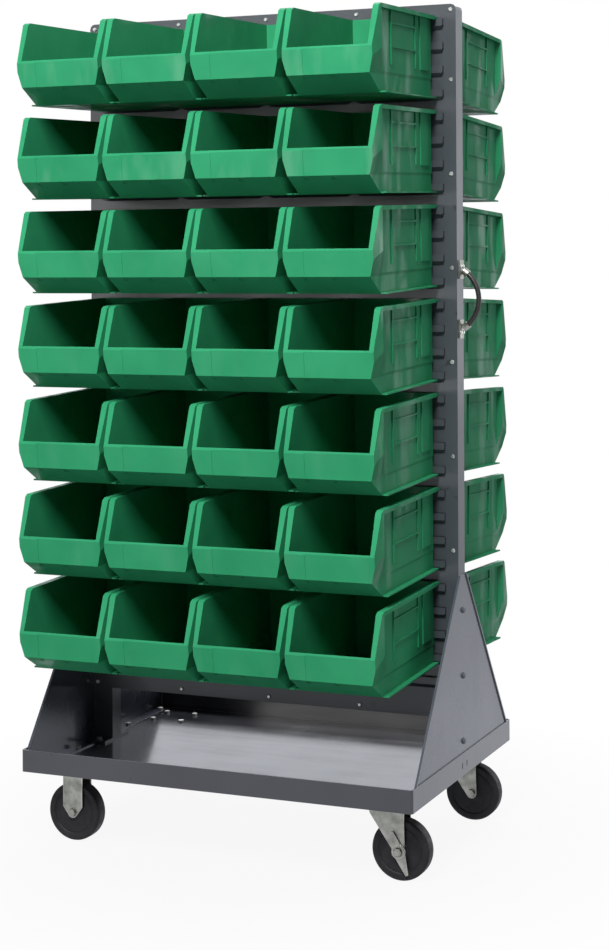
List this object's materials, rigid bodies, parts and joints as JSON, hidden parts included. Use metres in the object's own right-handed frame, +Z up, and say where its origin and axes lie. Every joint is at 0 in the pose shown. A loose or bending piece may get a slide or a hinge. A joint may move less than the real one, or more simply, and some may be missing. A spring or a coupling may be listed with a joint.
{
  "type": "mobile louvered bin rack",
  "caption": "Double-sided louvered panel rack on a caster tray, with hopper bins hooked on both faces, gusseted ends and a pull handle.",
  "frame": {"origin": "on the floor under the middle of the base tray", "axes": "+X towards the end with the handle and the swivel casters, +Y from the front to the rear, +Z up"},
  "size_m": [0.9593, 0.7788, 1.8288],
  "materials": {
    "grey_paint": "satin powder coat, worn on the tray",
    "zinc_plate": "zinc plated",
    "green_plastic": "satin moulded polypropylene",
    "wheel_rubber": "hard dark rubber",
    "black_grip": "moulded, matt"
  },
  "bodies": {
    "rack": {"base_tray": "grey_paint", "left_end_plate": "grey_paint", "right_end_plate": "grey_paint", "left_upright": "grey_paint", "right_upright": "grey_paint", "cross_tubes": "grey_paint", "front_louver_panel": "grey_paint", "rear_louver_panel": "grey_paint", "panel_screws": "zinc_plate", "frame_bolts": "zinc_plate", "handle_brackets": "zinc_plate", "handle_grip": "black_grip", "rigid_forks": "zinc_plate", "rigid_axles": "zinc_plate", "swivel_plates": "zinc_plate"},
    "swivel_front": {"swivel_fork_front": "zinc_plate", "swivel_axle_front": "zinc_plate"},
    "swivel_rear": {"swivel_fork_rear": "zinc_plate", "swivel_axle_rear": "zinc_plate"},
    "wheel_left_front": {"wheel_left_front": "wheel_rubber"},
    "wheel_left_rear": {"wheel_left_rear": "wheel_rubber"},
    "wheel_right_front": {"wheel_right_front": "wheel_rubber"},
    "wheel_right_rear": {"wheel_right_rear": "wheel_rubber"},
    "brake_front": {"brake_lever_front": "zinc_plate"},
    "brake_rear": {"brake_lever_rear": "zinc_plate"},
    "bin_front_r1c1": {"bin_front_r1c1": "green_plastic"},
    "bin_front_r1c2": {"bin_front_r1c2": "green_plastic"},
    "bin_front_r1c3": {"bin_front_r1c3": "green_plastic"},
    "bin_front_r1c4": {"bin_front_r1c4": "green_plastic"},
    "bin_front_r2c1": {"bin_front_r2c1": "green_plastic"},
    "bin_front_r2c2": {"bin_front_r2c2": "green_plastic"},
    "bin_front_r2c3": {"bin_front_r2c3": "green_plastic"},
    "bin_front_r2c4": {"bin_front_r2c4": "green_plastic"},
    "bin_front_r3c1": {"bin_front_r3c1": "green_plastic"},
    "bin_front_r3c2": {"bin_front_r3c2": "green_plastic"},
    "bin_front_r3c3": {"bin_front_r3c3": "green_plastic"},
    "bin_front_r3c4": {"bin_front_r3c4": "green_plastic"},
    "bin_front_r4c1": {"bin_front_r4c1": "green_plastic"},
    "bin_front_r4c2": {"bin_front_r4c2": "green_plastic"},
    "bin_front_r4c3": {"bin_front_r4c3": "green_plastic"},
    "bin_front_r4c4": {"bin_front_r4c4": "green_plastic"},
    "bin_front_r5c1": {"bin_front_r5c1": "green_plastic"},
    "bin_front_r5c2": {"bin_front_r5c2": "green_plastic"},
    "bin_front_r5c3": {"bin_front_r5c3": "green_plastic"},
    "bin_front_r5c4": {"bin_front_r5c4": "green_plastic"},
    "bin_front_r6c1": {"bin_front_r6c1": "green_plastic"},
    "bin_front_r6c2": {"bin_front_r6c2": "green_plastic"},
    "bin_front_r6c3": {"bin_front_r6c3": "green_plastic"},
    "bin_front_r6c4": {"bin_front_r6c4": "green_plastic"},
    "bin_front_r7c1": {"bin_front_r7c1": "green_plastic"},
    "bin_front_r7c2": {"bin_front_r7c2": "green_plastic"},
    "bin_front_r7c3": {"bin_front_r7c3": "green_plastic"},
    "bin_front_r7c4": {"bin_front_r7c4": "green_plastic"},
    "bins_rear_row1": {"bins_rear_row1": "green_plastic"},
    "bins_rear_row2": {"bins_rear_row2": "green_plastic"},
    "bins_rear_row3": {"bins_rear_row3": "green_plastic"},
    "bins_rear_row4": {"bins_rear_row4": "green_plastic"},
    "bins_rear_row5": {"bins_rear_row5": "green_plastic"},
    "bins_rear_row6": {"bins_rear_row6": "green_plastic"},
    "bins_rear_row7": {"bins_rear_row7": "green_plastic"}
  },
  "joints": [
    {"name": "caster_swivel_front", "type": "hinge", "parent": "rack", "child": "swivel_front", "pos_m": [0.3722, -0.2255, 0.15], "axis": [0, 0, 1], "continuous": true},
    {"name": "caster_swivel_rear", "type": "hinge", "parent": "rack", "child": "swivel_rear", "pos_m": [0.3722, 0.2255, 0.15], "axis": [0, 0, 1], "continuous": true},
    {"name": "caster_roll_left_front", "type": "hinge", "parent": "rack", "child": "wheel_left_front", "pos_m": [-0.3722, -0.2255, 0.0635], "axis": [0, 1, 0], "continuous": true},
    {"name": "caster_roll_left_rear", "type": "hinge", "parent": "rack", "child": "wheel_left_rear", "pos_m": [-0.3722, 0.2255, 0.0635], "axis": [0, 1, 0], "continuous": true},
    {"name": "caster_roll_right_front", "type": "hinge", "parent": "swivel_front", "child": "wheel_right_front", "pos_m": [0.4002, -0.2255, 0.0635], "axis": [0, 1, 0], "continuous": true},
    {"name": "caster_roll_right_rear", "type": "hinge", "parent": "swivel_rear", "child": "wheel_right_rear", "pos_m": [0.4002, 0.2255, 0.0635], "axis": [0, 1, 0], "continuous": true},
    {"name": "brake_lever_front", "type": "hinge", "parent": "swivel_front", "child": "brake_front", "pos_m": [0.4002, -0.2255, 0.0635], "axis": [0, 1, 0], "range_deg": [0, 42]},
    {"name": "brake_lever_rear", "type": "hinge", "parent": "swivel_rear", "child": "brake_rear", "pos_m": [0.4002, 0.2255, 0.0635], "axis": [0, 1, 0], "range_deg": [0, 42]},
    {"name": "unhook_bin_front_r1c1", "type": "slide", "parent": "rack", "child": "bin_front_r1c1", "axis": [0, 0, 1], "range_m": [0, 0.01]},
    {"name": "unhook_bin_front_r1c2", "type": "slide", "parent": "rack", "child": "bin_front_r1c2", "axis": [0, 0, 1], "range_m": [0, 0.01]},
    {"name": "unhook_bin_front_r1c3", "type": "slide", "parent": "rack", "child": "bin_front_r1c3", "axis": [0, 0, 1], "range_m": [0, 0.01]},
    {"name": "unhook_bin_front_r1c4", "type": "slide", "parent": "rack", "child": "bin_front_r1c4", "axis": [0, 0, 1], "range_m": [0, 0.01]},
    {"name": "unhook_bin_front_r2c1", "type": "slide", "parent": "rack", "child": "bin_front_r2c1", "axis": [0, 0, 1], "range_m": [0, 0.01]},
    {"name": "unhook_bin_front_r2c2", "type": "slide", "parent": "rack", "child": "bin_front_r2c2", "axis": [0, 0, 1], "range_m": [0, 0.01]},
    {"name": "unhook_bin_front_r2c3", "type": "slide", "parent": "rack", "child": "bin_front_r2c3", "axis": [0, 0, 1], "range_m": [0, 0.01]},
    {"name": "unhook_bin_front_r2c4", "type": "slide", "parent": "rack", "child": "bin_front_r2c4", "axis": [0, 0, 1], "range_m": [0, 0.01]},
    {"name": "unhook_bin_front_r3c1", "type": "slide", "parent": "rack", "child": "bin_front_r3c1", "axis": [0, 0, 1], "range_m": [0, 0.01]},
    {"name": "unhook_bin_front_r3c2", "type": "slide", "parent": "rack", "child": "bin_front_r3c2", "axis": [0, 0, 1], "range_m": [0, 0.01]},
    {"name": "unhook_bin_front_r3c3", "type": "slide", "parent": "rack", "child": "bin_front_r3c3", "axis": [0, 0, 1], "range_m": [0, 0.01]},
    {"name": "unhook_bin_front_r3c4", "type": "slide", "parent": "rack", "child": "bin_front_r3c4", "axis": [0, 0, 1], "range_m": [0, 0.01]},
    {"name": "unhook_bin_front_r4c1", "type": "slide", "parent": "rack", "child": "bin_front_r4c1", "axis": [0, 0, 1], "range_m": [0, 0.01]},
    {"name": "unhook_bin_front_r4c2", "type": "slide", "parent": "rack", "child": "bin_front_r4c2", "axis": [0, 0, 1], "range_m": [0, 0.01]},
    {"name": "unhook_bin_front_r4c3", "type": "slide", "parent": "rack", "child": "bin_front_r4c3", "axis": [0, 0, 1], "range_m": [0, 0.01]},
    {"name": "unhook_bin_front_r4c4", "type": "slide", "parent": "rack", "child": "bin_front_r4c4", "axis": [0, 0, 1], "range_m": [0, 0.01]},
    {"name": "unhook_bin_front_r5c1", "type": "slide", "parent": "rack", "child": "bin_front_r5c1", "axis": [0, 0, 1], "range_m": [0, 0.01]},
    {"name": "unhook_bin_front_r5c2", "type": "slide", "parent": "rack", "child": "bin_front_r5c2", "axis": [0, 0, 1], "range_m": [0, 0.01]},
    {"name": "unhook_bin_front_r5c3", "type": "slide", "parent": "rack", "child": "bin_front_r5c3", "axis": [0, 0, 1], "range_m": [0, 0.01]},
    {"name": "unhook_bin_front_r5c4", "type": "slide", "parent": "rack", "child": "bin_front_r5c4", "axis": [0, 0, 1], "range_m": [0, 0.01]},
    {"name": "unhook_bin_front_r6c1", "type": "slide", "parent": "rack", "child": "bin_front_r6c1", "axis": [0, 0, 1], "range_m": [0, 0.01]},
    {"name": "unhook_bin_front_r6c2", "type": "slide", "parent": "rack", "child": "bin_front_r6c2", "axis": [0, 0, 1], "range_m": [0, 0.01]},
    {"name": "unhook_bin_front_r6c3", "type": "slide", "parent": "rack", "child": "bin_front_r6c3", "axis": [0, 0, 1], "range_m": [0, 0.01]},
    {"name": "unhook_bin_front_r6c4", "type": "slide", "parent": "rack", "child": "bin_front_r6c4", "axis": [0, 0, 1], "range_m": [0, 0.01]},
    {"name": "unhook_bin_front_r7c1", "type": "slide", "parent": "rack", "child": "bin_front_r7c1", "axis": [0, 0, 1], "range_m": [0, 0.01]},
    {"name": "unhook_bin_front_r7c2", "type": "slide", "parent": "rack", "child": "bin_front_r7c2", "axis": [0, 0, 1], "range_m": [0, 0.01]},
    {"name": "unhook_bin_front_r7c3", "type": "slide", "parent": "rack", "child": "bin_front_r7c3", "axis": [0, 0, 1], "range_m": [0, 0.01]},
    {"name": "unhook_bin_front_r7c4", "type": "slide", "parent": "rack", "child": "bin_front_r7c4", "axis": [0, 0, 1], "range_m": [0, 0.01]},
    {"name": "unhook_bins_rear_row1", "type": "slide", "parent": "rack", "child": "bins_rear_row1", "axis": [0, 0, 1], "range_m": [0, 0.01]},
    {"name": "unhook_bins_rear_row2", "type": "slide", "parent": "rack", "child": "bins_rear_row2", "axis": [0, 0, 1], "range_m": [0, 0.01]},
    {"name": "unhook_bins_rear_row3", "type": "slide", "parent": "rack", "child": "bins_rear_row3", "axis": [0, 0, 1], "range_m": [0, 0.01]},
    {"name": "unhook_bins_rear_row4", "type": "slide", "parent": "rack", "child": "bins_rear_row4", "axis": [0, 0, 1], "range_m": [0, 0.01]},
    {"name": "unhook_bins_rear_row5", "type": "slide", "parent": "rack", "child": "bins_rear_row5", "axis": [0, 0, 1], "range_m": [0, 0.01]},
    {"name": "unhook_bins_rear_row6", "type": "slide", "parent": "rack", "child": "bins_rear_row6", "axis": [0, 0, 1], "range_m": [0, 0.01]},
    {"name": "unhook_bins_rear_row7", "type": "slide", "parent": "rack", "child": "bins_rear_row7", "axis": [0, 0, 1], "range_m": [0, 0.01]}
  ]
}
